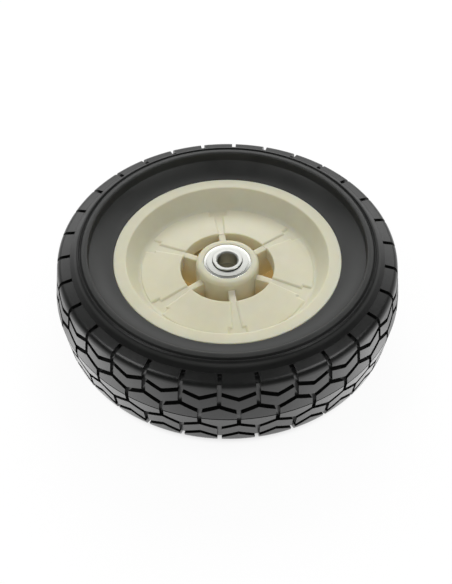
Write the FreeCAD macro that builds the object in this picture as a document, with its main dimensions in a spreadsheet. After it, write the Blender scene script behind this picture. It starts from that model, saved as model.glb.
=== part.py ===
# Lawn mower wheel: a treaded rubber tyre on a moulded plastic wheel that turns on two ball bearings.
# The axle runs along +Z and the origin is the middle of the bore. Lengths are in millimetres.
import FreeCAD
import Part

import math
import os
import re

import Sketcher

Vector = FreeCAD.Vector

SIZES = [
    # Tyre
    ("tyre_outer_d", 203.8, "over the crown of the tread, at the mould's parting line"),
    ("tyre_w", 62.0, "over the two side ridges"),
    ("tread_w", 50.4, "over the side lugs, beside the shoulders"),
    ("tread_slope", 7.6, "degrees that each half of the tread falls away from the crown"),
    ("shoulder_r", 4.4, "rounding between tread and side"),
    ("parting_w", 0.8, "mouth of the line around the crown"),
    ("parting_depth", 0.6, "depth of that line"),
    ("lug_reach", 10.4, "from the crown in to the foot of the side lugs"),
    ("lug_rise", 0.7, "rise of the side lugs from the shoulder in to their foot"),
    ("band_reach", 3.0, "radial run of the lower slope beside the lugs"),
    ("band_rise", 3.3, "top of that lower slope over the tread's side"),
    ("ridge_reach", 1.5, "radial run of the steeper slope up to the ridge"),
    ("ridge_w", 6.3, "width of the side ridge"),
    ("ridge_edge", 0.8, "bevel on the ridge's edges"),
    ("line_from_edge", 2.1, "from the ridge's outer edge to the line around it"),
    ("line_w", 1.0, "width of that line"),
    ("line_depth", 0.8, "depth of that line"),
    ("ridge_h", 6.0, "height of the ridge over the hollow inside it"),
    ("hollow_r", 27.0, "radius of the hollow between ridge and rim"),
    # Tread pattern
    ("tread_pitches", 30, "repeats around the tyre"),
    ("tread_phase", 9.5, "degrees from +X to the first joint between hexagons"),
    ("groove_depth", 2.5, "depth of the zigzag grooves"),
    ("groove_w", 3.2, "width of the zigzag grooves along the axle"),
    ("joint_w", 2.4, "width of the joints between hexagons"),
    ("slot_w", 2.4, "width of the cross slots"),
    ("slot_depth", 2.8, "depth of the cross slots"),
    ("slot_run_in", 0.6, "length of the cross slots in the slope beside the lugs"),
    ("hexagon_joint_z", 5.4, "end of the joint between hexagons"),
    ("hexagon_tip_z", 9.8, "tip of the hexagons"),
    ("chevron_l", 9.8, "from one zigzag groove to the next"),
    ("groove_overrun", 0.5, "length of the zigzag grooves past the middle of a slot"),
    # Moulded wheel
    ("rim_outer_d", 133.4, "over the rim's lips"),
    ("rim_w", 41.6, "over the rim's lips, along the axle"),
    ("lip_w", 7.3, "width of the lip's flat"),
    ("lip_edge", 0.8, "bevel on the lip's inner edge"),
    ("flange_t", 3.8, "thickness of the lip"),
    ("rim_wall", 4.0, "wall of the rim's barrel"),
    ("well_w", 9.0, "flat floor of the tyre's seat"),
    ("foot_d", 104.8, "inside of the barrel, where the web starts"),
    ("foot_z", 8.0, "height of the web's face at the barrel"),
    ("foot_round", 1.2, "rounding between the barrel and the web"),
    ("web_rise", 2.9, "rise of the web's face towards the hub"),
    ("web_t", 3.6, "thickness of the web"),
    ("pad_h", 1.2, "height of the six raised fields of the web"),
    ("pad_gap", 0.8, "from the raised fields out to the barrel"),
    ("band_end_w", 10.0, "width of the outer ends of the bands between the fields"),
    ("band_end_l", 5.6, "length of those ends"),
    ("window_w", 9.1, "opening between hub and web"),
    ("collar_h", 5.0, "depth of the collar under the web, around that opening"),
    ("collar_t", 3.0, "wall of the collar"),
    ("rib_count", 6, "ribs between hub and rim"),
    ("rib_w", 4.2, "thickness of a rib, and width of the bands over the ribs"),
    ("rib_phase", 37.1, "degrees from +X to the first rib"),
    ("rib_drop", 5.6, "from the hub's front end down to the ribs"),
    ("rib_hub_z", 12.5, "depth of the ribs at the hub"),
    ("rib_rim_z", 9.0, "depth of the ribs at the rim"),
    ("rib_root", 1.4, "depth of a rib's ends in the hub and the rim"),
    ("hub_l", 32.4, "length of the hub"),
    ("hub_wall", 4.6, "wall around the bearing seats"),
    ("hub_edge_r", 2.0, "rounding on the hub's ends"),
    ("hub_bore_wall", 2.8, "step that stops the bearings"),
    ("seat_bevel", 0.6, "bevel at the mouth of a bearing seat"),
    # Bearings
    ("bearing_d", 28.0, "outside of the outer ring"),
    ("bearing_w", 8.0, "width of a bearing"),
    ("bearing_set_in", 0.2, "from the hub's end down to a bearing"),
    ("inner_proud", 1.5, "stand of an inner ring over its bearing's face"),
    ("axle_d", 12.0, "bore for the axle"),
    ("ring_bevel", 0.5, "bevel on the rings' corners"),
    ("inner_land_d", 17.1, "outside of the inner ring"),
    ("outer_land_d", 23.2, "inside of the outer ring beside its groove"),
    ("shield_d", 24.7, "outside of a shield"),
    ("shield_t", 0.35, "thickness of a shield"),
    ("shield_set_back", 0.6, "from the bearing's face to its shield"),
    ("shield_gap", 0.25, "between a shield and the inner ring"),
    ("ball_d", 4.762, "diameter of a ball"),
    ("ball_pitch_d", 20.0, "circle through the balls' centres"),
    ("ball_count", 8, "balls in one bearing"),
    ("ball_play", 0.03, "between a ball and its groove"),
    ("groove_r", 2.48, "section radius of the rings' grooves"),
    ("cage_w", 2.0, "radial width of a cage"),
    ("cage_back", 0.45, "cage behind a ball"),
    ("cage_front", 1.3, "cage in front of the balls' centres"),
    ("pocket_play", 0.1, "between a ball and its pocket"),
    # Distance sleeve
    ("sleeve_d", 16.0, "outside of the sleeve"),
]

doc = FreeCAD.newDocument("mower_wheel")
sheet = doc.addObject("Spreadsheet::Sheet", "Sizes")
for row, (alias, size, note) in enumerate(SIZES, start=1):
    sheet.set(f"A{row}", alias)
    sheet.set(f"B{row}", str(size))
    sheet.setAlias(f"B{row}", alias)
    sheet.set(f"C{row}", note)
doc.recompute()

ALIASES = {alias for alias, size, note in SIZES}


def bound(rule):
    """A rule written with the sheet's own words, as an expression on the sheet."""
    return re.sub(r"[a-z_]+", lambda word: f"Sizes.{word[0]}" if word[0] in ALIASES else word[0], rule)


def value(rule):
    """The number that a rule gives at present."""
    result = sheet.evalExpression(bound(rule))
    return float(getattr(result, "Value", result))


def origin_feature(body, role):
    return next(item for item in body.Origin.OriginFeatures if item.Role == role)


def new_body(label):
    body = doc.addObject("PartDesign::Body", label)
    body.Label = label
    return body


def new_sketch(body, name, plane, offset=FreeCAD.Placement()):
    sketch = body.newObject("Sketcher::SketchObject", name)
    sketch.AttachmentSupport = [(origin_feature(body, plane), "")]
    sketch.MapMode = "FlatFace"
    sketch.AttachmentOffset = offset
    return sketch


def pin(sketch, point, direction, rule):
    """Hold one coordinate of a point of the sketch at a rule's value."""
    if rule == "0":
        axis = -2 if direction == "DistanceX" else -1
        sketch.addConstraint(Sketcher.Constraint("PointOnObject", *point, axis))
        return
    size = value(rule)
    if size < 0:
        ends = (*point, -1, 1)
        rule = f"-({rule})"
    else:
        ends = (-1, 1, *point)
    index = sketch.addConstraint(Sketcher.Constraint(direction, *ends, abs(size)))
    sketch.setExpression(f"Constraints[{index}]", bound(rule))


def arc_between(start, end, radius, turn):
    """The short arc from start to end. turn is 1 for anticlockwise, -1 for clockwise."""
    chord = end - start
    rise = math.sqrt(radius**2 - (chord.Length / 2) ** 2)
    side = Vector(-chord.y, chord.x, 0).normalize()
    centre = (start + end) / 2 + side * rise * turn
    first, last = (start, end) if turn > 0 else (end, start)
    angles = [math.atan2(point.y - centre.y, point.x - centre.x) for point in (first, last)]
    return Part.ArcOfCircle(Part.Circle(centre, Vector(0, 0, 1), radius), *angles)


def draw_loop(sketch, corners):
    """Draw a closed outline. A corner is (x, y), or (x, y, radius, turn) where an arc leaves it."""
    first = sketch.GeometryCount
    places = [Vector(value(corner[0]), value(corner[1]), 0) for corner in corners]
    count = len(corners)
    starts, ends = [], []
    for index, corner in enumerate(corners):
        start, end = places[index], places[(index + 1) % count]
        if len(corner) == 2:
            sketch.addGeometry(Part.LineSegment(start, end))
            starts.append((first + index, 1))
            ends.append((first + index, 2))
        else:
            radius, turn = corner[2:]
            sketch.addGeometry(arc_between(start, end, value(radius), turn))
            starts.append((first + index, 1 if turn > 0 else 2))
            ends.append((first + index, 2 if turn > 0 else 1))
    for index, corner in enumerate(corners):
        sketch.addConstraint(Sketcher.Constraint("Coincident", *ends[index - 1], *starts[index]))
        pin(sketch, starts[index], "DistanceX", corner[0])
        pin(sketch, starts[index], "DistanceY", corner[1])
        if len(corner) == 4:
            radius = corner[2]
            fixed = sketch.addConstraint(Sketcher.Constraint("Radius", first + index, value(radius)))
            sketch.setExpression(f"Constraints[{fixed}]", bound(radius))


def both_halves(upper):
    """Close an outline that is the same above and below the mid-plane, where it starts and ends."""
    lower = []
    for index in range(len(upper) - 1, 0, -1):
        x, z = upper[index][:2]
        bend = upper[index - 1][2:]
        lower.append((x, z if z == "0" else f"-({z})", *bend))
    return upper[:-1] + lower


def turning(body, name, sketch):
    """A sketch turned all the way around the axle."""
    feature = body.newObject("PartDesign::Revolution", name)
    feature.Profile = sketch
    feature.ReferenceAxis = (sketch, ["V_Axis"])
    feature.Angle = 360
    return feature


def revolve(body, name, section):
    sketch = new_sketch(body, f"{name}_section", "XZ_Plane")
    draw_loop(sketch, section)
    turning(body, name, sketch)
    doc.recompute()


def prism(body, kind, name, sketch, length, symmetric=False, reverse=False):
    """A Pad or a Pocket of a sketch."""
    feature = body.newObject(f"PartDesign::{kind}", name)
    feature.Profile = sketch
    feature.SideType = "Symmetric" if symmetric else "One side"
    feature.Reversed = reverse
    feature.setExpression("Length", bound(length))
    doc.recompute()
    return feature


def around(body, name, features, count):
    pattern = body.newObject("PartDesign::PolarPattern", name)
    pattern.Originals = features
    pattern.Axis = (origin_feature(body, "Z_Axis"), [""])
    pattern.Angle = 360
    pattern.setExpression("Occurrences", bound(count))
    body.Tip = pattern
    doc.recompute()
    return pattern


def turn_to(body, phase):
    body.Placement = FreeCAD.Placement(Vector(), FreeCAD.Rotation(Vector(0, 0, 1), value(phase)))
    body.setExpression("Placement.Rotation.Angle", bound(phase))


# Places that pieces share

crown_r = "(tyre_outer_d / 2)"
rim_r = "(rim_outer_d / 2)"
rim_half = "(rim_w / 2)"
lip_inner_r = f"({rim_r} - lip_w)"
flange_z = f"({rim_half} - flange_t)"
foot_r = "(foot_d / 2)"
hub_r = "(bearing_d / 2 + hub_wall)"
hub_half = "(hub_l / 2)"
seat_r = "(bearing_d / 2)"
seat_z = f"({hub_half} - bearing_set_in - bearing_w)"
bearing_z = f"({hub_half} - bearing_set_in - bearing_w / 2)"

# The tyre's seat: the outside of the rim from the lip's edge to the mid-plane
tyre_seat = [
    (rim_r, rim_half),
    (rim_r, flange_z),
    (f"{lip_inner_r} + rim_wall", flange_z),
    (f"{foot_r} + rim_wall", "well_w / 2"),
]


# Tyre

def make_tyre():
    tyre = new_body("tyre")
    tread_half = "(tread_w / 2)"
    tyre_half = "(tyre_w / 2)"
    shoulder_z = f"({tread_half} - shoulder_r * (1 - sin(tread_slope)))"
    shoulder_x = f"({crown_r} - {shoulder_z} * tan(tread_slope))"
    lug_x = f"({shoulder_x} - shoulder_r * cos(tread_slope))"
    lug_end = f"({crown_r} - lug_reach)"
    band_x = f"({lug_end} - band_reach)"
    band_z = f"({tread_half} + band_rise)"
    ridge_outer = f"({band_x} - ridge_reach)"
    ridge_inner = f"({ridge_outer} - ridge_w)"
    line_x = f"({ridge_outer} - line_from_edge)"
    hollow_z = f"({tyre_half} - ridge_h)"
    section = [
        (f"{crown_r} - parting_depth", "0"),
        (crown_r, "parting_w / 2"),
        (shoulder_x, shoulder_z, "shoulder_r", 1),
        (lug_x, tread_half),
        (lug_end, f"{tread_half} + lug_rise"),
        (band_x, band_z),
        (ridge_outer, f"{tyre_half} - ridge_edge"),
        (f"{ridge_outer} - ridge_edge", tyre_half),
        (f"{line_x} + line_w / 2", tyre_half),
        (line_x, f"{tyre_half} - line_depth"),
        (f"{line_x} - line_w / 2", tyre_half),
        (f"{ridge_inner} + ridge_edge", tyre_half),
        (ridge_inner, f"{tyre_half} - ridge_edge"),
        (ridge_inner, hollow_z, "hollow_r", -1),
        *tyre_seat,
        (f"{foot_r} + rim_wall", "0"),
    ]
    revolve(tyre, "tyre_blank", both_halves(section))

    # One repeat of the zigzag grooves in each half of the tread, on a plane that follows its slope
    pitch_half = f"({crown_r} * tan(180 / tread_pitches))"
    reach = f"({pitch_half} + groove_overrun)"
    climb = f"((hexagon_tip_z - hexagon_joint_z) / {pitch_half})"
    end_rise = f"({climb} * {reach})"
    joint_rise = f"({climb} * joint_w / 2)"

    def zigzags(name, half):
        level = "" if half > 0 else "-1 * "
        low, high = "(hexagon_joint_z - groove_w / 2)", "(hexagon_joint_z + groove_w / 2)"
        hexagon_edge = [
            (f"-({reach})", f"{level}({low} + {end_rise})"),
            ("-(joint_w / 2)", f"{level}({low} + {joint_rise})"),
            ("-(joint_w / 2)", f"{level}(-(groove_overrun))"),
            ("joint_w / 2", f"{level}(-(groove_overrun))"),
            ("joint_w / 2", f"{level}({low} + {joint_rise})"),
            (reach, f"{level}({low} + {end_rise})"),
            (reach, f"{level}({high} + {end_rise})"),
            ("0", f"{level}{high}"),
            (f"-({reach})", f"{level}({high} + {end_rise})"),
        ]
        chevron_edge = [
            (f"-({reach})", f"{level}({low} + chevron_l + {end_rise})"),
            ("0", f"{level}({low} + chevron_l)"),
            (reach, f"{level}({low} + chevron_l + {end_rise})"),
            (reach, f"{level}({high} + chevron_l + {end_rise})"),
            ("0", f"{level}({high} + chevron_l)"),
            (f"-({reach})", f"{level}({high} + chevron_l + {end_rise})"),
        ]
        floor = FreeCAD.Placement(
            Vector(0, 0, value(f"{crown_r} - groove_depth")),
            FreeCAD.Rotation(Vector(-half, 0, 0), value("tread_slope")),
        )
        sketch = new_sketch(tyre, f"{name}_outline", "YZ_Plane", floor)
        sketch.setExpression("AttachmentOffset.Base.z", bound(f"{crown_r} - groove_depth"))
        sketch.setExpression("AttachmentOffset.Rotation.Angle", bound("tread_slope"))
        draw_loop(sketch, hexagon_edge)
        draw_loop(sketch, chevron_edge)
        return prism(tyre, "Pocket", name, sketch, "2 * groove_depth", reverse=True)

    upper = zigzags("upper_zigzags", 1)
    lower = zigzags("lower_zigzags", -1)

    # One cross slot in each half, from a hexagon's tip over the shoulder to the end of the lugs
    slot_floor = f"({crown_r} - slot_depth)"
    slot_side = f"({tread_half} - slot_depth)"
    above = f"({tread_half} + slot_depth)"
    outside = f"({crown_r} + slot_depth)"
    slot_end = f"({lug_end} - slot_run_in)"
    slot = [
        (f"{slot_floor} - hexagon_tip_z * tan(tread_slope)", "hexagon_tip_z"),
        (outside, "hexagon_tip_z"),
        (outside, above),
        (slot_end, above),
        (slot_end, slot_side),
        (f"{slot_floor} - {slot_side} * tan(tread_slope)", slot_side),
    ]
    half_pitch = FreeCAD.Placement(Vector(), FreeCAD.Rotation(Vector(0, 1, 0), value("180 / tread_pitches")))
    sketch = new_sketch(tyre, "slot_outline", "XZ_Plane", half_pitch)
    sketch.setExpression("AttachmentOffset.Rotation.Angle", bound("180 / tread_pitches"))
    draw_loop(sketch, slot)
    draw_loop(sketch, [(x, f"-({z})") for x, z in slot])
    slots = prism(tyre, "Pocket", "cross_slots", sketch, "slot_w", symmetric=True)

    around(tyre, "tread", [upper, lower, slots], "tread_pitches")
    turn_to(tyre, "tread_phase")
    return tyre


# Moulded wheel

def make_wheel_moulding():
    wheel = new_body("wheel_moulding")
    window_r = f"({hub_r} + window_w)"
    pad_r = f"({foot_r} - pad_gap)"
    web_slope = f"(web_rise / ({foot_r} - {window_r}))"
    under_z = "(foot_z - web_t)"
    collar_r = f"({window_r} + collar_t)"
    collar_z = f"({under_z} + web_rise - collar_h)"
    barrel_top = f"({rim_half} - lip_edge)"

    # The rounding at the web's foot touches barrel and web this far from where their faces would meet
    barrel_run = f"({lip_inner_r} - {foot_r})"
    barrel_rise = f"({barrel_top} - foot_z)"
    barrel_l = f"sqrt({barrel_run} * {barrel_run} + {barrel_rise} * {barrel_rise})"
    web_l = f"sqrt(1 + {web_slope} * {web_slope})"
    spread = f"(({barrel_rise} * {web_slope} - {barrel_run}) / ({barrel_l} * {web_l}))"
    touch = f"(foot_round * sqrt((1 + {spread}) / (1 - {spread})))"
    rim = [
        (lip_inner_r, barrel_top),
        (
            f"{foot_r} + {touch} * {barrel_run} / {barrel_l}",
            f"foot_z + {touch} * {barrel_rise} / {barrel_l}",
            "foot_round",
            -1,
        ),
        (f"{foot_r} - {touch} / {web_l}", f"foot_z + {touch} * {web_slope} / {web_l}"),
        (window_r, "foot_z + web_rise"),
        (window_r, collar_z),
        (collar_r, collar_z),
        (collar_r, f"{under_z} + web_rise - {web_slope} * collar_t"),
        (foot_r, under_z),
        (foot_r, "-(foot_z)"),
        (lip_inner_r, f"-({barrel_top})"),
        (f"{lip_inner_r} + lip_edge", f"-({rim_half})"),
        *[(x, f"-({z})") for x, z in tyre_seat],
        *reversed(tyre_seat),
        (f"{lip_inner_r} + lip_edge", rim_half),
    ]
    revolve(wheel, "rim_and_web", rim)

    # The six raised fields of the web. The bands between them are wider at their outer ends.
    def field(name, inner_r, outer_r, band_w):
        half_turn = FreeCAD.Placement(Vector(), FreeCAD.Rotation(Vector(0, 1, 0), value("180 / rib_count")))
        sketch = new_sketch(wheel, f"{name}_section", "XZ_Plane", half_turn)
        sketch.setExpression("AttachmentOffset.Rotation.Angle", bound("180 / rib_count"))
        inner_z = f"(foot_z + {web_slope} * ({foot_r} - {inner_r}))"
        outer_z = f"(foot_z + {web_slope} * ({foot_r} - {outer_r}))"
        draw_loop(sketch, [
            (inner_r, f"{inner_z} - web_t / 2"),
            (outer_r, f"{outer_z} - web_t / 2"),
            (outer_r, f"{outer_z} + pad_h"),
            (inner_r, f"{inner_z} + pad_h"),
        ])
        sector = turning(wheel, name, sketch)
        sector.Midplane = True
        band_turn = f"2 * asin({band_w} / ({inner_r} + {outer_r}))"
        sector.setExpression("Angle", bound(f"360 deg / rib_count - {band_turn}"))
        doc.recompute()
        return sector

    step_r = f"({pad_r} - band_end_l)"
    fields = [field("field", window_r, step_r, "rib_w"), field("field_edge", step_r, pad_r, "band_end_w")]
    around(wheel, "fields", fields, "rib_count")

    # The six ribs behind the web, which also carry the hub across the windows
    rib_top = f"({hub_half} - rib_drop)"
    rib = [
        (f"{hub_r} - rib_root", rib_top),
        (f"{hub_r} - rib_root", "-(rib_hub_z)"),
        (f"{foot_r} + rib_root", "-(rib_rim_z)"),
        (f"{foot_r} + rib_root", "foot_z - web_t / 2"),
        (f"{window_r} + rib_root", rib_top),
    ]
    sketch = new_sketch(wheel, "rib_outline", "XZ_Plane")
    draw_loop(sketch, rib)
    ribs = prism(wheel, "Pad", "rib", sketch, "rib_w", symmetric=True)
    around(wheel, "ribs", [ribs], "rib_count")

    bore_r = f"({seat_r} - hub_bore_wall)"
    hub = [
        (bore_r, "0"),
        (bore_r, seat_z),
        (seat_r, seat_z),
        (seat_r, f"{hub_half} - seat_bevel"),
        (f"{seat_r} + seat_bevel", hub_half),
        (f"{hub_r} - hub_edge_r", hub_half, "hub_edge_r", -1),
        (hub_r, f"{hub_half} - hub_edge_r"),
        (hub_r, "0"),
    ]
    revolve(wheel, "hub", both_halves(hub))
    turn_to(wheel, "rib_phase")
    return wheel


# Bearings

def make_bearing(side, sign):
    centre_z = f"{sign} * {bearing_z}"
    half = "(bearing_w / 2)"
    pitch_r = "(ball_pitch_d / 2)"
    ball_r = "(ball_d / 2)"
    shield_r = "(shield_d / 2)"
    shield_face = f"({half} - shield_set_back)"
    shield_back = f"({shield_face} - shield_t)"

    def place(piece):
        piece.setExpression("Placement.Base.z", bound(centre_z))
        return piece

    def groove_end(middle, land):
        return f"sqrt(groove_r * groove_r - ({middle} - {land}) * ({middle} - {land}))"

    outer_land = "(outer_land_d / 2)"
    outer_middle = f"({pitch_r} + {ball_r} + ball_play - groove_r)"
    outer_end = groove_end(outer_middle, outer_land)
    outer = new_body(f"{side}_outer_ring")
    revolve(outer, f"{side}_outer_turning", [
        (outer_land, outer_end),
        (outer_land, shield_back),
        (shield_r, shield_back),
        (shield_r, half),
        (f"{seat_r} - ring_bevel", half),
        (seat_r, f"{half} - ring_bevel"),
        (seat_r, f"-({half} - ring_bevel)"),
        (f"{seat_r} - ring_bevel", f"-{half}"),
        (shield_r, f"-{half}"),
        (shield_r, f"-{shield_back}"),
        (outer_land, f"-{shield_back}"),
        (outer_land, f"-({outer_end})", "groove_r", 1),
    ])

    bore_r = "(axle_d / 2)"
    inner_land = "(inner_land_d / 2)"
    inner_middle = f"({pitch_r} - {ball_r} - ball_play + groove_r)"
    inner_end = groove_end(inner_middle, inner_land)
    proud = f"({half} + inner_proud)"
    upper_z, lower_z = (proud, half) if sign > 0 else (half, proud)
    inner = new_body(f"{side}_inner_ring")
    revolve(inner, f"{side}_inner_turning", [
        (inner_land, f"-({inner_end})"),
        (inner_land, f"-({lower_z} - ring_bevel)"),
        (f"{inner_land} - ring_bevel", f"-{lower_z}"),
        (f"{bore_r} + ring_bevel", f"-{lower_z}"),
        (bore_r, f"-({lower_z} - ring_bevel)"),
        (bore_r, f"{upper_z} - ring_bevel"),
        (f"{bore_r} + ring_bevel", upper_z),
        (f"{inner_land} - ring_bevel", upper_z),
        (inner_land, f"{upper_z} - ring_bevel"),
        (inner_land, inner_end, "groove_r", 1),
    ])

    shields = []
    for name, facing in (("outer", sign), ("inner", -sign)):
        shield = new_body(f"{side}_{name}_shield")
        level = "" if facing > 0 else "-1 * "
        hole_r = f"({inner_land} + shield_gap)"
        revolve(shield, f"{side}_{name}_pressing", [
            (hole_r, f"{level}{shield_back}"),
            (shield_r, f"{level}{shield_back}"),
            (shield_r, f"{level}{shield_face}"),
            (hole_r, f"{level}{shield_face}"),
        ])
        shields.append(shield)

    pocket_r = f"({ball_r} + pocket_play)"
    cage = new_body(f"{side}_cage")
    cage_inner, cage_outer = f"({pitch_r} - cage_w / 2)", f"({pitch_r} + cage_w / 2)"
    revolve(cage, f"{side}_cage_ring", [
        (cage_inner, f"-({pocket_r} + cage_back)"),
        (cage_outer, f"-({pocket_r} + cage_back)"),
        (cage_outer, "cage_front"),
        (cage_inner, "cage_front"),
    ])
    sketch = new_sketch(cage, f"{side}_pocket_outline", "YZ_Plane")
    sketch.addGeometry(Part.Circle(Vector(), Vector(0, 0, 1), value(pocket_r)))
    sketch.addConstraint(Sketcher.Constraint("Coincident", 0, 3, -1, 1))
    fixed = sketch.addConstraint(Sketcher.Constraint("Radius", 0, value(pocket_r)))
    sketch.setExpression(f"Constraints[{fixed}]", bound(pocket_r))
    pocket = prism(cage, "Pocket", f"{side}_pocket", sketch, "ball_pitch_d", reverse=True)
    around(cage, f"{side}_pockets", [pocket], "ball_count")

    balls = []
    for index in range(round(value("ball_count"))):
        ball = doc.addObject("Part::Sphere", f"{side}_ball_{index + 1}")
        ball.Label = f"{side}_ball_{index + 1}"
        ball.setExpression("Radius", bound(ball_r))
        turn = f"{index} * 360 / ball_count"
        ball.setExpression("Placement.Base.x", bound(f"{pitch_r} * cos({turn})"))
        ball.setExpression("Placement.Base.y", bound(f"{pitch_r} * sin({turn})"))
        balls.append(ball)
    return [place(piece) for piece in (outer, inner, *shields, cage, *balls)]


# Distance sleeve

def make_distance_sleeve():
    sleeve = new_body("distance_sleeve")
    bore = "axle_d / 2"
    revolve(sleeve, "sleeve_turning", [
        (bore, f"-{seat_z}"),
        ("sleeve_d / 2", f"-{seat_z}"),
        ("sleeve_d / 2", seat_z),
        (bore, seat_z),
    ])
    return sleeve


pieces = [make_tyre(), make_wheel_moulding(), make_distance_sleeve()]
pieces += make_bearing("upper", 1) + make_bearing("lower", -1)
doc.recompute()

failed = [item.Name for item in doc.Objects if {"Invalid", "Error"} & set(item.State)]
if failed:
    raise RuntimeError(f"these objects failed: {failed}")

os.makedirs("parts", exist_ok=True)
for piece in pieces:
    shape = piece.Shape
    if shape.isNull() or not shape.isValid() or len(shape.Solids) != 1:
        raise RuntimeError(f"{piece.Label} is not one valid solid")
    print(f"{piece.Label}: {shape.Volume / 1000:.3f} cm3, {len(shape.Faces)} faces")
    shape.exportStep(f"parts/{piece.Label}.step")
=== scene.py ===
import math

import bmesh
import bpy
from mathutils import Matrix, Vector


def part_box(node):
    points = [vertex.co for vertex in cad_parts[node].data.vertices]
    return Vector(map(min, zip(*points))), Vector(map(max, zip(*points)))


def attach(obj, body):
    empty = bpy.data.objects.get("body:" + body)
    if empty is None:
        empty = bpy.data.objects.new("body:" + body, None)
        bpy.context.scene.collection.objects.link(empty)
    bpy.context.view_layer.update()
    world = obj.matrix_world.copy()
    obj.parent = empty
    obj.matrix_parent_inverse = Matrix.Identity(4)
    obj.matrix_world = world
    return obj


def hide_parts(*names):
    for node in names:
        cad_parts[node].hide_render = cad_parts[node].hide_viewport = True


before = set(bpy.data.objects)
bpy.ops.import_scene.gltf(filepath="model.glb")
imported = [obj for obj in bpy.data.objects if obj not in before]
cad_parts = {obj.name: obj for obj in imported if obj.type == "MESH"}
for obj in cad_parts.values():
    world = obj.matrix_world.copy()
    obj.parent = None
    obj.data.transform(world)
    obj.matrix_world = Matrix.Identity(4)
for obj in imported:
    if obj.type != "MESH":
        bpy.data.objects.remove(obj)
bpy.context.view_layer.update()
print("frame loaded")

# lengths are in millimetres and become metres where points are set, only lamps and camera are in metres
mm = 0.001


def nodeReach(node):
    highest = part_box(node)[1] / mm
    return highest.x, highest.z


tyreRadius, tyreHalf = nodeReach("tyre")
rimRadius, rimHalf = nodeReach("wheel_moulding")
bearingRadius, bearingTop = nodeReach("upper_outer_ring")


# tools for pieces

def clearSelection():
    bpy.ops.object.select_all(action="DESELECT")


def pickPiece(piece):
    clearSelection()
    piece.select_set(True)
    bpy.context.view_layer.objects.active = piece


def editPiece(piece):
    pickPiece(piece)
    bpy.ops.object.mode_set(mode="EDIT")
    bpy.ops.mesh.select_all(action="SELECT")


def leaveEdit():
    bpy.ops.object.mode_set(mode="OBJECT")


def faceOutwards():
    bpy.ops.mesh.select_all(action="SELECT")
    bpy.ops.mesh.normals_make_consistent(inside=False)


def ringOfPoints(name, points, fill):
    clearSelection()
    bpy.ops.mesh.primitive_circle_add(vertices=len(points), radius=mm, fill_type=fill)
    piece = bpy.context.object
    piece.name = piece.data.name = name
    for vertex, point in zip(piece.data.vertices, points):
        vertex.co = Vector(point) * mm
    return piece


# a corner is (x, y, radius of its rounding), and an arc turns by at most step degrees from point to point
def roundOff(corners, step=22):
    points = []
    for index, (x, y, radius) in enumerate(corners):
        here = Vector((x, y))
        if radius == 0:
            points.append(here)
            continue
        before = (Vector(corners[index - 1][:2]) - here).normalized()
        after = (Vector(corners[(index + 1) % len(corners)][:2]) - here).normalized()
        half = before.angle(after) / 2
        centre = here + (before + after).normalized() * radius / math.sin(half)
        start = here + before * radius / math.tan(half) - centre
        end = here + after * radius / math.tan(half) - centre
        turn = math.atan2(start.cross(end), start.dot(end))
        steps = max(2, math.ceil(abs(math.degrees(turn)) / step))
        for count in range(steps + 1):
            points.append(centre + Matrix.Rotation(turn * count / steps, 2) @ start)
    return points


def mirrorHalf(upper):
    return upper + [(x, -z, radius) for x, z, radius in reversed(upper)]


def spinSection(name, corners, steps, weld=0.001):
    section = [(point.x, 0, point.y) for point in roundOff(corners)]
    piece = ringOfPoints(name, section, "NOTHING")
    editPiece(piece)
    bpy.ops.mesh.spin(steps=steps, angle=math.tau, axis=(0, 0, 1), center=(0, 0, 0))
    bpy.ops.mesh.select_all(action="SELECT")
    bpy.ops.mesh.remove_doubles(threshold=weld * mm)
    faceOutwards()
    leaveEdit()
    return piece


# a flat block with its outline in x and y, from -sink up to its top, rounded all round but under it
def flatBlock(name, outline, sink, height, edge, segments):
    piece = ringOfPoints(name, [(x, y, -sink) for x, y in outline], "NGON")
    editPiece(piece)
    bpy.ops.mesh.extrude_region_move(TRANSFORM_OT_translate={"value": (0, 0, (sink + height) * mm)})
    faceOutwards()
    bpy.ops.mesh.select_all(action="DESELECT")
    shape = bmesh.from_edit_mesh(piece.data)
    for line in shape.edges:
        line.select_set(max(end.co.z for end in line.verts) > 0)
    shape.select_flush_mode()
    bmesh.update_edit_mesh(piece.data)
    bpy.ops.mesh.bevel(offset=edge * mm, segments=segments, affect="EDGES")
    leaveEdit()
    return piece


def cutAcross(piece, places, normal):
    editPiece(piece)
    for place in places:
        bpy.ops.mesh.select_all(action="SELECT")
        bpy.ops.mesh.bisect(plane_co=Vector(place) * mm, plane_no=normal)
    leaveEdit()


def bendPiece(piece, rule):
    for vertex in piece.data.vertices:
        vertex.co = Vector(rule(*(vertex.co / mm))) * mm


def mirrorDown(piece):
    editPiece(piece)
    bpy.ops.mesh.duplicate()
    bpy.ops.transform.mirror(constraint_axis=(False, False, True), center_override=(0, 0, 0))
    faceOutwards()
    leaveEdit()


def repeatRound(piece, count):
    editPiece(piece)
    turn = math.tau * (count - 1) / count
    bpy.ops.mesh.spin(steps=count - 1, angle=turn, dupli=True, axis=(0, 0, 1), center=(0, 0, 0))
    leaveEdit()


def turnPiece(piece, degrees):
    piece.data.transform(Matrix.Rotation(math.radians(degrees), 4, "Z"))


def joinPieces(name, pieces):
    clearSelection()
    for piece in pieces:
        piece.select_set(True)
    bpy.context.view_layer.objects.active = pieces[0]
    bpy.ops.object.join()
    whole = bpy.context.object
    whole.name = whole.data.name = name
    return whole


def uniteWith(piece, other):
    pickPiece(piece)
    union = piece.modifiers.new("union", "BOOLEAN")
    union.operation = "UNION"
    union.solver = "MANIFOLD"
    union.object = other
    bpy.ops.object.modifier_apply(modifier=union.name)
    bpy.data.objects.remove(other)


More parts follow.
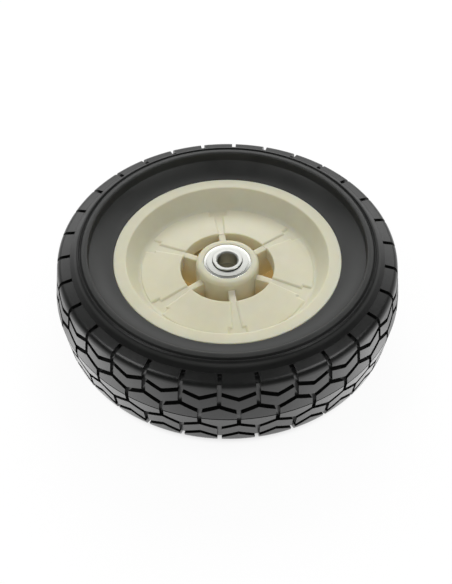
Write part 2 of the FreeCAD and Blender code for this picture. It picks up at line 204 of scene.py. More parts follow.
def smoothPiece(piece, degrees):
    pickPiece(piece)
    bpy.ops.object.shade_smooth_by_angle(angle=math.radians(degrees))
    weighting = piece.modifiers.new("weighting", "WEIGHTED_NORMAL")
    weighting.keep_sharp = True
    bpy.ops.object.modifier_apply(modifier=weighting.name)


def dressPiece(piece, material):
    piece.data.materials.clear()
    piece.data.materials.append(material)


# tools for materials

class Wire:
    def __init__(self, tree, socket):
        self.tree = tree
        self.socket = socket

    def node(self, kind, settings, inputs, output=0):
        made = self.tree.nodes.new(kind)
        for name, setting in settings.items():
            setattr(made, name, setting)
        for name, source in inputs.items():
            if isinstance(source, Wire):
                self.tree.links.new(source.socket, made.inputs[name])
            else:
                made.inputs[name].default_value = source
        return Wire(self.tree, made.outputs[output])

    def maths(self, operation, first, second):
        return self.node("ShaderNodeMath", {"operation": operation}, {0: first, 1: second})

    def __add__(self, other):
        return self.maths("ADD", self, other)

    def __sub__(self, other):
        return self.maths("SUBTRACT", self, other)

    def __mul__(self, other):
        return self.maths("MULTIPLY", self, other)

    __radd__ = __add__
    __rmul__ = __mul__

    def __rsub__(self, other):
        return self.maths("SUBTRACT", other, self)

    def __abs__(self):
        return self.maths("ABSOLUTE", self, 0.0)

    def noise(self, scale, detail=2.0):
        return self.node("ShaderNodeTexNoise", {}, {"Vector": self, "Scale": scale, "Detail": detail})

    def along(self, axis):
        return self.node("ShaderNodeSeparateXYZ", {}, {0: self}, axis)

    def fromAxis(self):
        flat = self.node("ShaderNodeVectorMath", {"operation": "MULTIPLY"}, {0: self, 1: (1, 1, 0)})
        return flat.node("ShaderNodeVectorMath", {"operation": "LENGTH"}, {0: flat}, 1)

    def span(self, low, high, start=0.0, end=1.0):
        limits = {0: self, 1: low, 2: high, 3: start, 4: end}
        return self.node("ShaderNodeMapRange", {"interpolation_type": "SMOOTHSTEP"}, limits)

    # the same between two lengths
    def step(self, low, high, start=0.0, end=1.0):
        return self.span(low * mm, high * mm, start, end)

    def mixed(self, other, share):
        return self * share + other * (1 - share)

    def blend(self, first, second):
        colours = {0: self, 6: (*first, 1) if isinstance(first, tuple) else first,
                   7: (*second, 1) if isinstance(second, tuple) else second}
        return self.node("ShaderNodeMix", {"data_type": "RGBA"}, colours, 2)

    def bump(self, strength, height):
        sizes = {"Height": self, "Strength": strength, "Distance": height * mm}
        return self.node("ShaderNodeBump", {}, sizes)


# returns the material, its shader and the object's own coordinates
def newMaterial(name):
    material = bpy.data.materials.new(name)
    material.use_nodes = True
    tree = material.node_tree
    place = tree.nodes.new("ShaderNodeTexCoord").outputs["Object"]
    return material, tree.nodes["Principled BSDF"], Wire(tree, place)


def feed(shader, **sources):
    names = {"colour": "Base Color", "roughness": "Roughness", "normal": "Normal", "coat": "Coat Weight"}
    for key, source in sources.items():
        source.tree.links.new(source.socket, shader.inputs[names[key]])


# noise lies mostly between these values
noiseRange = (0.3, 0.7)


# a pattern's pair is its scale and detail, and a bump's pair its strength and height
def rubberMaterial():
    look = {
        "dark": (0.005, 0.0054, 0.005), "pale": (0.009, 0.0095, 0.009), "rough": 0.30, "spread": 0.10,
        "specular": 0.25, "coat": 0.55, "cloud": (38.0, 4.0), "cloudShare": 0.6,
        "streak": (260.0, 3.0), "streakHeight": 0.6, "grain": (2600.0, 2.0), "bump": (0.22, 0.12),
        # a pale matt film on the side; it is mostly taken out of the line around the ridge, which paints
        # shade into that groove
        "film": (0.042, 0.043, 0.0415), "filmEdge": (89.4, 87.8), "filmRange": (0.0, 0.6), "filmRough": 0.06,
        "grooveShadeIn": (83.7, 84.5), "grooveShadeOut": (87.8, 87.0), "grooveShadeShare": 0.9,
    }
    material, shader, place = newMaterial("blackRubber")
    shader.inputs["Specular IOR Level"].default_value = look["specular"]
    shader.inputs["Coat Roughness"].default_value = look["rough"]
    cloud = place.noise(*look["cloud"])
    grain = place.noise(*look["grain"])
    streak = place.noise(*look["streak"])
    tone = cloud.mixed(streak, look["cloudShare"]).span(*noiseRange).blend(look["dark"], look["pale"])
    radius = place.fromAxis()
    film = radius.step(*look["filmEdge"]) * cloud.span(*look["filmRange"])
    # painted shade: the film is taken away in the groove around the ridge, so the groove shows darker than
    # the side
    line = radius.step(*look["grooveShadeIn"]) * radius.step(*look["grooveShadeOut"])
    filmAndGrooveShade = film * (1.0 - line * look["grooveShadeShare"])
    evenRough = look["rough"] - look["spread"] / 2
    feed(shader,
         colour=filmAndGrooveShade.blend(tone, look["film"]),
         roughness=streak * look["spread"] + film * look["filmRough"] + evenRough,
         coat=(1.0 - film) * look["coat"],
         normal=(grain + streak * look["streakHeight"]).bump(*look["bump"]))
    return material


def creamMaterial():
    look = {
        "warm": (0.66, 0.635, 0.475), "pale": (0.70, 0.68, 0.53), "rough": 0.40, "spread": 0.10,
        "depthShare": 0.5, "depthColour": (1.0, 0.7, 0.3), "depth": 6.0,
        "cloud": (24.0, 3.0), "cloudShare": 0.7, "flow": (150.0, 4.0),
        "grain": (2200.0, 2.0), "grainHeight": 0.5, "bump": (0.12, 0.10),
    }
    material, shader, place = newMaterial("creamPlastic")
    shader.inputs["Subsurface Weight"].default_value = look["depthShare"]
    shader.inputs["Subsurface Radius"].default_value = look["depthColour"]
    shader.inputs["Subsurface Scale"].default_value = look["depth"] * mm
    cloud = place.noise(*look["cloud"])
    flow = place.noise(*look["flow"])
    grain = place.noise(*look["grain"])
    feed(shader,
         colour=cloud.mixed(flow, look["cloudShare"]).span(*noiseRange).blend(look["warm"], look["pale"]),
         roughness=flow * look["spread"] + (look["rough"] - look["spread"] / 2),
         normal=(grain * look["grainHeight"] + flow).bump(*look["bump"]))
    return material


# lines is the scale of the turning marks, and painted shade darkens the bore steel outside a radius and
# below a height
steels = {
    "ring": {"dark": (0.74, 0.75, 0.71), "pale": (0.86, 0.87, 0.82), "rough": 0.28, "lines": 3600.0},
    "bore": {"dark": (0.80, 0.81, 0.77), "pale": (0.90, 0.91, 0.86), "rough": 0.32, "lines": 3600.0,
             "paintedSideShade": {"colour": (0.035, 0.035, 0.033), "edge": (8.0, 8.2),
                        "top": (bearingTop + 1.0, bearingTop + 0.7)}},
    "shield": {"dark": (0.80, 0.81, 0.765), "pale": (0.89, 0.90, 0.855), "rough": 0.44, "lines": 2400.0},
    "sleeve": {"dark": (0.50, 0.51, 0.48), "pale": (0.64, 0.65, 0.61), "rough": 0.45, "lines": 1800.0},
    "ball": {"dark": (0.70, 0.70, 0.69), "pale": (0.80, 0.80, 0.79), "rough": 0.12, "lines": 900.0},
}
steelFinish = {"grooveShadeShare": 0.6, "cloud": (320.0, 3.0), "spread": 0.12, "bump": (0.03, 0.01)}


def steelMaterial(name, look):
    material, shader, place = newMaterial(name)
    shader.inputs["Metallic"].default_value = 1.0
    radius = place.fromAxis()
    marks = {"W": radius, "Scale": look["lines"]}
    turned = radius.node("ShaderNodeTexNoise", {"noise_dimensions": "1D"}, marks)
    tone = turned.mixed(place.noise(*steelFinish["cloud"]), steelFinish["grooveShadeShare"]).span(*noiseRange)
    colour = tone.blend(look["dark"], look["pale"])
    # painted shade: the side of the inner ring, below its top edge, is painted near black
    if "paintedSideShade" in look:
        paintedSideShade = look["paintedSideShade"]
        shadedSide = radius.step(*paintedSideShade["edge"]) * abs(place.along(2)).step(*paintedSideShade["top"])
        colour = shadedSide.blend(colour, paintedSideShade["colour"])
    feed(shader,
         colour=colour,
         roughness=turned * steelFinish["spread"] + (look["rough"] - steelFinish["spread"] / 2),
         normal=turned.bump(*steelFinish["bump"]))
    return material


def cageMaterial():
    look = {"dark": (0.50, 0.46, 0.36), "pale": (0.58, 0.54, 0.43), "rough": 0.48, "spread": 0.1,
            "cloud": (700.0, 3.0), "grain": (3000.0, 1.0), "bump": (0.1, 0.02)}
    material, shader, place = newMaterial("cagePlastic")
    cloud = place.noise(*look["cloud"])
    feed(shader,
         colour=cloud.span(*noiseRange).blend(look["dark"], look["pale"]),
         roughness=cloud * look["spread"] + (look["rough"] - look["spread"] / 2),
         normal=place.noise(*look["grain"]).bump(*look["bump"]))
    return material


rubber = rubberMaterial()
cream = creamMaterial()
bearingLooks = {kind: steelMaterial(kind + "Steel", look) for kind, look in steels.items()}
bearingLooks["cage"] = cageMaterial()
print("materials made")


# tyre

tyre = {
    # the tread's halves fall by slope to rounded shoulders, and the lugs on the sides lean by lugLean
    "slope": 7.6, "lugHalf": 25.2, "lugLean": 12.0, "shoulder": 4.4, "lugEnd": tyreRadius - 10.4,
    "floor": 2.6, "floorFlat": 1.0, "sideFloor": 2.0, "floorRound": 0.8, "sink": 1.2,
    "steps": 240, "smooth": 32,
    # one repeat of the tread
    "pitches": 30, "phase": 9.5, "slotWidth": 2.4, "jointWidth": 2.4, "grooveWidth": 3.2,
    "jointEnd": 5.4, "tip": 9.8, "chevron": 9.8, "parting": 0.35, "lugRunIn": 0.6,
    "edge": 0.4, "segments": 3, "acrossCuts": 8, "shoulderCuts": 5,
    # corners of the side: outwards and up from the lugs' end, the ridge or the line around it, and rounding
    "bandStart": (-0.3, 0.96, 0.3), "bandEnd": (-3.0, 3.3, 0.6),
    "ridge": 4.5, "ridgeOuter": (0.1, -1.0, 0.8), "crown": (-4.6, 0.0, 5.0),
    "ridgeInner": (-6.3, -0.1, 0.9), "ridgeFoot": (-6.3, -6.0, 0.8),
    "line": 2.1, "lineOuter": (1.2, -0.45, 0.3), "lineFloor": (0.45, -1.3, 0.3),
    "lineInner": (-0.8, -0.3, 0.6),
    # the hollow between ridge and rim, and the seat on the rim
    "hollowRun": 14.0, "hollowFall": 4.2, "hollowSag": 4.0, "hollowSteps": 8,
    "seatPlay": 0.1, "seatEdge": 0.4, "seatDepth": 3.9, "seatStep": 3.2, "well": 11.2, "wellHalf": 4.5,
}
slope = math.radians(tyre["slope"])
halfPitch = math.pi / tyre["pitches"]
shoulderZ = tyre["lugHalf"] - tyre["shoulder"] * (1 - math.sin(slope))
shoulderX = tyreRadius - shoulderZ * math.tan(slope)
lugX = shoulderX - tyre["shoulder"] * math.cos(slope)
coneRun = shoulderZ / math.cos(slope)
lugLean = math.radians(90 - tyre["lugLean"])
shoulderRun = tyre["shoulder"] * (lugLean - slope)


def sideCorner(x, z, name):
    out, up, rounding = tyre[name]
    return x + out, z + up, rounding


def hollowPoints(x, z):
    points = []
    for count in range(1, tyre["hollowSteps"]):
        part = count / tyre["hollowSteps"]
        fall = tyre["hollowFall"] * part + tyre["hollowSag"] * part * (1 - part)
        points.append((x - tyre["hollowRun"] * part, z - fall, 0))
    return points


def sidewallSection():
    floorRadius, floorRound = tyreRadius - tyre["floor"], tyre["floorRound"]
    sideFloor = tyre["lugHalf"] - tyre["sideFloor"]
    bandStart = sideCorner(tyre["lugEnd"], tyre["lugHalf"], "bandStart")
    ridge = tyre["lugEnd"] - tyre["ridge"]
    ridgeFoot = sideCorner(ridge, tyreHalf, "ridgeFoot")
    line = ridge - tyre["line"]
    seat, seatZ = rimRadius + tyre["seatPlay"], rimHalf - tyre["seatDepth"]
    return mirrorHalf([
        (floorRadius, tyre["floorFlat"], 0),
        (floorRadius - sideFloor * math.tan(slope), sideFloor, floorRound),
        (bandStart[0], sideFloor, floorRound),
        bandStart,
        sideCorner(tyre["lugEnd"], tyre["lugHalf"], "bandEnd"),
        sideCorner(ridge, tyreHalf, "ridgeOuter"),
        sideCorner(line, tyreHalf, "lineOuter"),
        sideCorner(line, tyreHalf, "lineFloor"),
        sideCorner(line, tyreHalf, "lineInner"),
        sideCorner(ridge, tyreHalf, "crown"),
        sideCorner(ridge, tyreHalf, "ridgeInner"),
        ridgeFoot,
        *hollowPoints(*ridgeFoot[:2]),
        (seat, rimHalf, tyre["seatEdge"]),
        (seat, seatZ, 0),
        (rimRadius - tyre["seatStep"], seatZ, 0),
        (rimRadius - tyre["well"], tyre["wellHalf"], 0),
    ])


# lays a block's flat sizes, across, along the section and up, on the tread
def layOnTread(across, along, up):
    if along <= coneRun:
        part = along / coneRun
        x, z = tyreRadius + (shoulderX - tyreRadius) * part, shoulderZ * part
        lean = slope
    elif along <= coneRun + shoulderRun:
        lean = slope + (along - coneRun) / tyre["shoulder"]
        x = lugX + tyre["shoulder"] * math.cos(lean)
        z = tyre["lugHalf"] - tyre["shoulder"] + tyre["shoulder"] * math.sin(lean)
    else:
        lean = lugLean
        run = along - coneRun - shoulderRun
        x = lugX + tyre["shoulder"] * math.cos(lean) - run * math.sin(lean)
        z = tyre["lugHalf"] - tyre["shoulder"] * (1 - math.sin(lean)) + run * math.cos(lean)
    x += up * math.cos(lean)
    z += up * math.sin(lean)
    width = tyreRadius * math.tan(halfPitch) - tyre["slotWidth"] / 2
    turn = across / width * (halfPitch - tyre["slotWidth"] / 2 / x)
    return x * math.cos(turn), x * math.sin(turn), z


def makeTreadRepeat():
    reach = tyreRadius * math.tan(halfPitch)
    climb = (tyre["tip"] - tyre["jointEnd"]) / reach
    low = tyre["jointEnd"] - tyre["grooveWidth"] / 2
    high = tyre["jointEnd"] + tyre["grooveWidth"] / 2
    side = reach - tyre["slotWidth"] / 2
    joint = reach - tyre["jointWidth"] / 2
    lugFoot = lugX + tyre["shoulder"] * math.cos(lugLean) - tyre["lugEnd"]
    end = coneRun + shoulderRun + lugFoot + tyre["lugRunIn"]
    lowNext, highNext = low + tyre["chevron"], high + tyre["chevron"]
    jointTop = low + climb * (reach - joint)
    blocks = {
        "hexagon": [(-joint, tyre["parting"]), (joint, tyre["parting"]), (joint, jointTop),
                    (0, low + climb * reach), (-joint, jointTop)],
        "chevron": [(0, high), (side, high + climb * side), (side, lowNext + climb * side),
                    (0, lowNext), (-side, lowNext + climb * side), (-side, high + climb * side)],
        "shoulder": [(0, highNext), (side, highNext + climb * side),
                     (side, end), (-side, end), (-side, highNext + climb * side)],
    }
    acrossCuts, shoulderCuts = tyre["acrossCuts"], tyre["shoulderCuts"]
    across = [(side * (2 * count / acrossCuts - 1), 0, 0) for count in range(1, acrossCuts)]
    bends = [(0, coneRun + shoulderRun * count / shoulderCuts, 0) for count in range(shoulderCuts + 1)]
    pieces = []
    for name, outline in blocks.items():
        piece = flatBlock(name, outline, tyre["floor"] + tyre["sink"], 0, tyre["edge"], tyre["segments"])
        cutAcross(piece, across, (1, 0, 0))
        if name == "shoulder":
            cutAcross(piece, bends, (0, 1, 0))
        bendPiece(piece, layOnTread)
        if name == "hexagon":
            turnPiece(piece, math.degrees(halfPitch))
        pieces.append(piece)
    return joinPieces("treadRepeat", pieces)


def makeTyre():
    carcass = spinSection("carcass", sidewallSection(), tyre["steps"])
    tread = makeTreadRepeat()
    mirrorDown(tread)
    repeatRound(tread, tyre["pitches"])
    turnPiece(tread, tyre["phase"])
    whole = joinPieces("tyreRing", [carcass, tread])
    smoothPiece(whole, tyre["smooth"])
    dressPiece(whole, rubber)
    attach(whole, "wheel")
    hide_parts("tyre")


makeTyre()
print("tyre made")


# moulded wheel

moulding = {
    "lipWidth": 7.3, "lipEdge": 0.5, "lipRound": 1.2, "flange": 3.8, "wall": 4.0, "well": 9.0,
    "wellRound": 0.5, "footRadius": 52.4, "footZ": 8.0, "footRound": 4.0, "backRound": 2.0,
    "rise": 2.9, "thick": 3.6, "window": 9.1, "windowEdge": 0.4,
    "collarZ": 2.3, "collarWall": 3.0, "collarEdge": 0.8, "collarFoot": 1.0,
    "hubRadius": bearingRadius + 4.6, "hubHalf": 16.2, "hubEdge": 2.6, "hubStep": 2.8,
    "seatZ": 8.0, "seatPlay": 0.05, "mouthDrop": 0.2, "mouth": 0.75, "mouthRound": 0.3,
    "ribs": 6, "ribWidth": 4.2, "ribPhase": 37.1, "ribTop": 10.6, "ribHubZ": -12.5, "ribRimZ": -9.0,
    "ribRoot": 1.4, "ribEdge": 0.7, "ribSegments": 2,
    "steps": 240, "hubSteps": 120, "smooth": 34,
}
windowRadius = moulding["hubRadius"] + moulding["window"]
webFall = moulding["rise"] / (moulding["footRadius"] - windowRadius)


def rimSection():
    lip = rimRadius - moulding["lipWidth"]
    foot, footZ = moulding["footRadius"], moulding["footZ"]
    under = footZ - moulding["thick"]
    collar = windowRadius + moulding["collarWall"]
    flangeZ = rimHalf - moulding["flange"]
    wall, wellHalf, wellRound = moulding["wall"], moulding["well"] / 2, moulding["wellRound"]
    return [
        (rimRadius, rimHalf, moulding["lipEdge"]),
        (lip, rimHalf, moulding["lipRound"]),
        (foot, footZ, moulding["footRound"]),
        (windowRadius, footZ + moulding["rise"], moulding["windowEdge"]),
        (windowRadius, moulding["collarZ"], moulding["collarEdge"]),
        (collar, moulding["collarZ"], moulding["collarEdge"]),
        (collar, under + moulding["rise"] - webFall * moulding["collarWall"], moulding["collarFoot"]),
        (foot, under, moulding["backRound"]),
        (foot, -footZ, moulding["backRound"]),
        (lip, -rimHalf, moulding["lipRound"]),
        (rimRadius, -rimHalf, moulding["lipEdge"]),
        (rimRadius, -flangeZ, 0),
        (lip + wall, -flangeZ, wellRound),
        (foot + wall, -wellHalf, wellRound),
        (foot + wall, wellHalf, wellRound),
        (lip + wall, flangeZ, wellRound),
        (rimRadius, flangeZ, 0),
    ]


def hubSection():
    seat, half = bearingRadius + moulding["seatPlay"], moulding["hubHalf"]
    return mirrorHalf([
        (bearingRadius - moulding["hubStep"], moulding["seatZ"], 0),
        (seat, moulding["seatZ"], 0),
        (seat, half - moulding["mouthDrop"], 0),
        (bearingRadius + moulding["mouth"], half, moulding["mouthRound"]),
        (moulding["hubRadius"], half, moulding["hubEdge"]),
    ])


# raised fields: their edges run out over soft, and the bands between them end wider and short of the rim
field = {
    "gap": 0.8, "height": 0.9, "sink": 0.3, "depth": 1.4, "soft": 1.9, "edge": 0.7, "inset": 0.02,
    "endWidth": 10.0, "endLength": 5.6,
    # spacing of the grid's lines, and of its turns in radians
    "edgeLines": 0.15, "softLines": 0.25, "endLines": 1.5, "wideLines": 3.0,
    "sideTurns": 4, "wideTurns": 0.07, "turnMargin": 0.09,
}
fieldInner = windowRadius + field["inset"]
fieldOuter = moulding["footRadius"] - field["gap"]
fieldStep = fieldOuter - field["endLength"]
fieldSpread = math.pi / moulding["ribs"]
fieldTurn = fieldSpread - math.asin(moulding["ribWidth"] / (fieldInner + fieldStep))
fieldEndTurn = fieldSpread - math.asin(field["endWidth"] / (fieldStep + fieldOuter))


def evenLines(low, high, spacing):
    count = math.ceil((high - low) / spacing)
    return [low + (high - low) * part / count for part in range(count)]


# height over the web: raised inside the outline, sunk outside it and rounded off at the window
def fieldLift(radius, turn):
    whole = min(fieldOuter - radius, (fieldEndTurn - abs(turn)) * radius)
    narrow = min(fieldStep - radius, (fieldTurn - abs(turn)) * radius)
    part = min(max(max(whole, narrow) / field["soft"] + 0.5, 0), 1)
    raised = (field["height"] + field["sink"]) * part * part * (3 - 2 * part) - field["sink"]
    edge = field["edge"]
    short = min(max(edge - (radius - fieldInner), 0), edge)
    return raised - (edge - math.sqrt(edge ** 2 - short ** 2))


def layOnWeb(radius, turn, up):
    slopeZ = moulding["footZ"] + webFall * (moulding["footRadius"] - radius)
    rise = fieldLift(radius, turn) if up > 0.5 else -field["depth"]
    return radius * math.cos(turn), radius * math.sin(turn), slopeZ + rise


# one field: a polar grid with close lines at its edges
def makeField():
    soft, edgeEnd = field["soft"], fieldInner + field["edge"]
    margin = soft / fieldStep
    sideEnd, wideEnd = fieldTurn + margin, fieldEndTurn - field["turnMargin"]
    side = evenLines(fieldEndTurn - margin, sideEnd, margin / field["sideTurns"]) + [sideEnd]
    wide = evenLines(-wideEnd, wideEnd, field["wideTurns"])[1:]
    turns = [-turn for turn in reversed(side)] + wide + side
    radii = evenLines(fieldInner, edgeEnd, field["edgeLines"])
    radii += evenLines(edgeEnd, fieldStep - soft, field["wideLines"])
    radii += evenLines(fieldStep - soft, fieldStep + soft, field["softLines"])
    radii += evenLines(fieldStep + soft, fieldOuter - soft, field["endLines"])
    radii += evenLines(fieldOuter - soft, fieldOuter + soft, field["softLines"]) + [fieldOuter + soft]
    clearSelection()
    bpy.ops.mesh.primitive_grid_add(x_subdivisions=len(radii) - 1, y_subdivisions=len(turns) - 1, size=2)
    piece = bpy.context.object
    for vertex in piece.data.vertices:
        radius = radii[round((vertex.co.x + 1) / 2 * (len(radii) - 1))]
        turn = turns[round((vertex.co.y + 1) / 2 * (len(turns) - 1))]
        vertex.co = Vector((radius, turn, 0)) * mm
    editPiece(piece)
    bpy.ops.mesh.extrude_region_move(TRANSFORM_OT_translate={"value": (0, 0, mm)})
    faceOutwards()
    leaveEdit()
    bendPiece(piece, layOnWeb)
    turnPiece(piece, math.degrees(fieldSpread))
    return piece


def makeRib():
    root, top = moulding["ribRoot"], moulding["ribTop"]
    hub, foot = moulding["hubRadius"] - root, moulding["footRadius"] + root
    outline = [(hub, top), (hub, moulding["ribHubZ"]), (foot, moulding["ribRimZ"]),
               (foot, moulding["footZ"] - moulding["thick"] / 2), (windowRadius + root, top)]
    half = moulding["ribWidth"] / 2
    rib = flatBlock("rib", outline, half, half, moulding["ribEdge"], moulding["ribSegments"])
    bendPiece(rib, lambda x, y, up: (x, up, y))
    editPiece(rib)
    faceOutwards()
    leaveEdit()
    return rib


def makeMoulding():
    rim = spinSection("rim", rimSection(), moulding["steps"])
    hub = spinSection("hub", hubSection(), moulding["hubSteps"])
    whole = joinPieces("wheelMoulding", [rim, hub])
    for part in (makeField(), makeRib()):
        repeatRound(part, moulding["ribs"])
        turnPiece(part, moulding["ribPhase"])
        uniteWith(whole, part)
    smoothPiece(whole, moulding["smooth"])
    dressPiece(whole, cream)
    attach(whole, "wheel")
    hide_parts("wheel_moulding")


makeMoulding()
print("moulding made")


# bearing rings and outer shields, with the CAD's sizes and rounder edges

bearing = {
    "width": 8.0, "bore": 6.0, "innerLand": 8.55, "outerLand": 11.6, "corner": 0.5, "fineEdge": 0.1,
    "proud": 1.5, "innerEdge": 0.35, "chamfer": 0.75, "outerEdge": 0.4, "outerFall": 0.2,
    "shieldRadius": 12.35, "shieldPlay": 0.05, "shieldGap": 0.25, "shieldThick": 0.35, "setBack": 0.6,
    "dome": 0.95, "domeRun": 1.8, "domeRound": 9.0, "domeFall": 0.12, "holeEdge": 0.2,
    "steps": 120, "smooth": 34,
}


def outerRingSection(back, rebate):
    shieldRadius, land = bearing["shieldRadius"], bearing["outerLand"]
    return [
        (shieldRadius, bearingTop, bearing["fineEdge"]),
        (bearingRadius, bearingTop - bearing["outerFall"], bearing["outerEdge"]),
        (bearingRadius, back, bearing["corner"]),
        (land, back, bearing["fineEdge"]),
        (land, rebate, 0),
        (shieldRadius, rebate, 0),
    ]


def innerRingSection(back):
    bore, land, top = bearing["bore"], bearing["innerLand"], bearingTop + bearing["proud"]
    return [
        (bore, top - bearing["chamfer"], bearing["fineEdge"]),
        (bore + bearing["chamfer"], top, bearing["fineEdge"]),
        (land, top, bearing["innerEdge"]),
        (land, back, bearing["corner"]),
        (bore, back, bearing["corner"]),
    ]


def outerShieldSection(rebate):
    hole, rim = bearing["innerLand"] + bearing["shieldGap"], bearing["shieldRadius"] - bearing["shieldPlay"]
    crown = bearingTop - bearing["setBack"] + bearing["dome"]
    return [
        (hole, crown, bearing["holeEdge"]),
        (bearing["shieldRadius"] - bearing["domeRun"], crown, bearing["domeRound"]),
        (rim, crown - bearing["domeFall"], bearing["fineEdge"]),
        (rim, rebate, 0),
        (hole, rebate, 0),
    ]


def makeBearingPiece(name, section, sign, look):
    piece = spinSection(name, [(x, z * sign, radius) for x, z, radius in section], bearing["steps"])
    smoothPiece(piece, bearing["smooth"])
    dressPiece(piece, bearingLooks[look])
    return piece


def makeBearing(side, sign):
    back = bearingTop - bearing["width"]
    rebate = bearingTop - bearing["setBack"] - bearing["shieldThick"]
    outerRing = makeBearingPiece(side + "OuterRing", outerRingSection(back, rebate), sign, "ring")
    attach(outerRing, "wheel")
    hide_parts(side + "_outer_ring")
    innerRing = makeBearingPiece(side + "InnerRing", innerRingSection(back), sign, "bore")
    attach(innerRing, "axle_core")
    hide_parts(side + "_inner_ring")
    outerShield = makeBearingPiece(side + "OuterShield", outerShieldSection(rebate), sign, "shield")
    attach(outerShield, "wheel")
    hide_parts(side + "_outer_shield")


makeBearing("upper", 1)
makeBearing("lower", -1)
print("bearings made")


# what stays as the CAD has it

def dressNodes():
    for name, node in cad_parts.items():
        kind = next((kind for kind in bearingLooks if kind in name), None)
        if kind:
            dressPiece(node, bearingLooks[kind])


dressNodes()
print("nodes dressed")


# floor, light and camera

# a pair is where a part of the floor's light starts and ends
floorLight = {
    "size": 6000.0, "rough": 0.9, "dark": (0.80, 0.80, 0.80), "pale": (0.82, 0.82, 0.82),
    "cloud": 6.0, "cloudRange": (0.2, 0.8),
    # white to the camera and to mirrors, up to the shade at the tyre's foot
    "white": 1.04, "whiteShare": 0.90, "whiteEdge": (85.0, 97.0),
    # painted reflection: only glossy rays see a brighter ring in front and to the sides, and a darker floor
    # behind
    "nearRing": (108.0, 124.0), "nearGlow": 0.2, "ringGlow": 0.75, "farRing": (135.0, 160.0), "farFall": 0.7,
    "front": (-10.0, -50.0), "backGlow": -0.2, "sides": (30.0, 90.0), "sideGlow": 0.4,
    # a painted glow: the floor under the web glows warm, standing in for the light that pale floor and
    # plastic pass up into the cells behind the web, and grey under the bore
    "warm": (0.66, 0.44, 0.16), "warmSeen": (0.32, 0.20, 0.065), "warmEdge": (54.0, 48.0),
    "greyGlow": (0.30, 0.30, 0.27), "greyGlowEdge": (14.0, 18.0), "seenFade": 3.0,
}


def makeFloor():
    light = floorLight
    clearSelection()
    bpy.ops.mesh.primitive_plane_add(size=light["size"] * mm, location=(0, 0, 0))
    floor = bpy.context.object
    floor.name = floor.data.name = "floor"
    floor.data.transform(Matrix.Translation((0, 0, -tyreHalf * mm)))
    material, shader, place = newMaterial("paleFloor")
    shader.inputs["Roughness"].default_value = light["rough"]
    cloud = place.noise(light["cloud"]).span(*light["cloudRange"])
    feed(shader, colour=cloud.blend(light["dark"], light["pale"]))
    tree = material.node_tree
    camera, glossy, through = (place.node("ShaderNodeLightPath", {}, {}, name)
                               for name in ("Is Camera Ray", "Is Glossy Ray", "Is Transmission Ray"))
    reach = place.fromAxis()
    # painted reflection: for glossy rays the floor glows more in a ring in front and to the sides, and less
    # behind
    inFront = place.along(1).step(*light["front"])
    ring = reach.step(*light["nearRing"], light["nearGlow"], light["ringGlow"])
    ring = ring - reach.step(*light["farRing"]) * light["farFall"]
    ring = ring + abs(place.along(0)).step(*light["sides"]) * light["sideGlow"]
    mirrored = inFront * ring + (1.0 - inFront) * light["backGlow"]
    strength = glossy * mirrored + light["white"]
    outside = reach.step(*light["whiteEdge"])
    # painted glow: under the web the floor glows warm for all rays, dimmer to the camera, and grey under the
    # bore
    inside = reach.step(*light["warmEdge"])
    warmth = camera.blend(light["warm"], light["warmSeen"])
    warmth = reach.step(*light["greyGlowEdge"]).blend(light["greyGlow"], warmth)
    glow = place.node("ShaderNodeEmission", {}, {"Color": inside.blend(strength, warmth)})
    # straight below the windows the floor itself is seen
    seen = camera * reach.step(windowRadius + light["seenFade"], windowRadius)
    share = (camera + glossy + through) * outside * light["whiteShare"] + inside * (1.0 - seen)
    surface = Wire(tree, shader.outputs["BSDF"])
    lit = share.node("ShaderNodeMixShader", {}, {0: share, 1: surface, 2: glow})
    # from below the floor is clear
    below = place.node("ShaderNodeNewGeometry", {}, {}, "Backfacing")
    clear = place.node("ShaderNodeBsdfTransparent", {}, {})
    whole = below.node("ShaderNodeMixShader", {}, {0: below, 1: lit, 2: clear})
    tree.links.new(whole.socket, tree.nodes["Material Output"].inputs["Surface"])
    dressPiece(floor, material)


# dim all round, brighter near the horizon, with a bright panel behind; a pair is a range of directions
sky = {
    "above": 0.10, "low": 0.42, "lowEdge": (0.40, 0.25), "panel": 2.2, "panelSides": (0.42, 0.70),
    "panelFoot": (0.29, 0.44), "panelDim": (0.52, 0.68), "dimShare": 0.54, "panelTop": (0.775, 0.705),
}


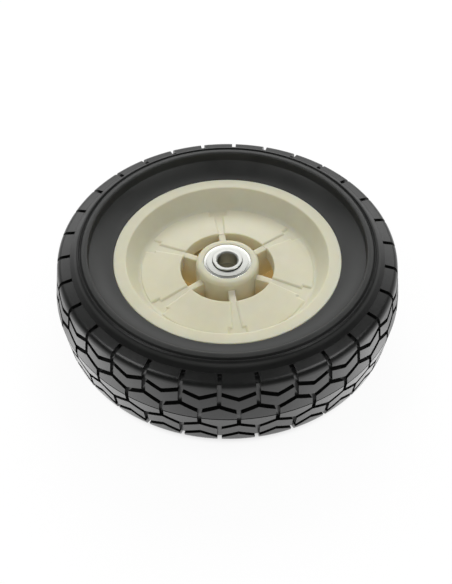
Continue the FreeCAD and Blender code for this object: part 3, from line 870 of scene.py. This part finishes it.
def makeWorld():
    world = bpy.data.worlds.new("studioWorld")
    world.use_nodes = True
    bpy.context.scene.world = world
    tree = world.node_tree
    place = Wire(tree, tree.nodes.new("ShaderNodeTexCoord").outputs["Generated"])
    height = place.along(2)
    low = height.span(*sky["lowEdge"], 0.0, sky["low"] - sky["above"])
    rising = height.span(*sky["panelFoot"], sky["low"], sky["panel"])
    dimming = height.span(*sky["panelDim"], 1.0, sky["dimShare"])
    panel = place.along(1).span(*sky["panelSides"]) * height.span(*sky["panelTop"]) * rising * dimming
    shine = low.maths("MAXIMUM", low, panel) + sky["above"]
    camera = place.node("ShaderNodeLightPath", {}, {}, "Is Camera Ray")
    tree.links.new(camera.blend(shine, (1, 1, 1)).socket, tree.nodes["Background"].inputs["Color"])
    tree.nodes["Background"].inputs["Strength"].default_value = 1.0


# shines says whether the lamp shows in mirrors
lamps = {
    "backLamp": {"place": (0.0, 0.75, 0.62), "size": 0.5, "watts": 3.6, "shines": False},
    "frontLamp": {"place": (0.0, -0.7, 0.6), "size": 0.5, "watts": 1.3, "shines": False},
    "leftLamp": {"place": (-0.55, -0.05, 0.95), "size": 0.4, "watts": 2.0, "shines": True},
    "rightLamp": {"place": (0.55, -0.05, 0.95), "size": 0.4, "watts": 2.0, "shines": True},
}


def aimAtOrigin(piece, place):
    piece.rotation_euler = (-place).to_track_quat("-Z", "Y").to_euler()


def makeLamp(name, place, size, watts, shines):
    clearSelection()
    bpy.ops.object.light_add(type="AREA", location=place)
    lamp = bpy.context.object
    lamp.name = name
    lamp.data.size = size
    lamp.data.energy = watts
    aimAtOrigin(lamp, Vector(place))
    lamp.visible_camera = False
    lamp.visible_glossy = shines


view = {"distance": 0.6127, "elevation": 47.12, "lens": 81.3, "sensor": 36, "shift": (-0.0031, -0.02737),
        "nearest": 0.01}


def makeCamera():
    clearSelection()
    bpy.ops.object.camera_add()
    camera = bpy.context.object
    elevation = math.radians(view["elevation"])
    back = Vector((0, -math.cos(elevation), math.sin(elevation)))
    camera.location = back * view["distance"]
    aimAtOrigin(camera, back)
    camera.data.sensor_fit = "HORIZONTAL"
    camera.data.sensor_width = view["sensor"]
    camera.data.lens = view["lens"]
    camera.data.shift_x, camera.data.shift_y = view["shift"]
    camera.data.clip_start = view["nearest"]
    bpy.context.scene.camera = camera


makeFloor()
makeWorld()
for name, lamp in lamps.items():
    makeLamp(name, **lamp)
makeCamera()
bpy.context.scene.view_settings.view_transform = "Standard"
print("studio made")
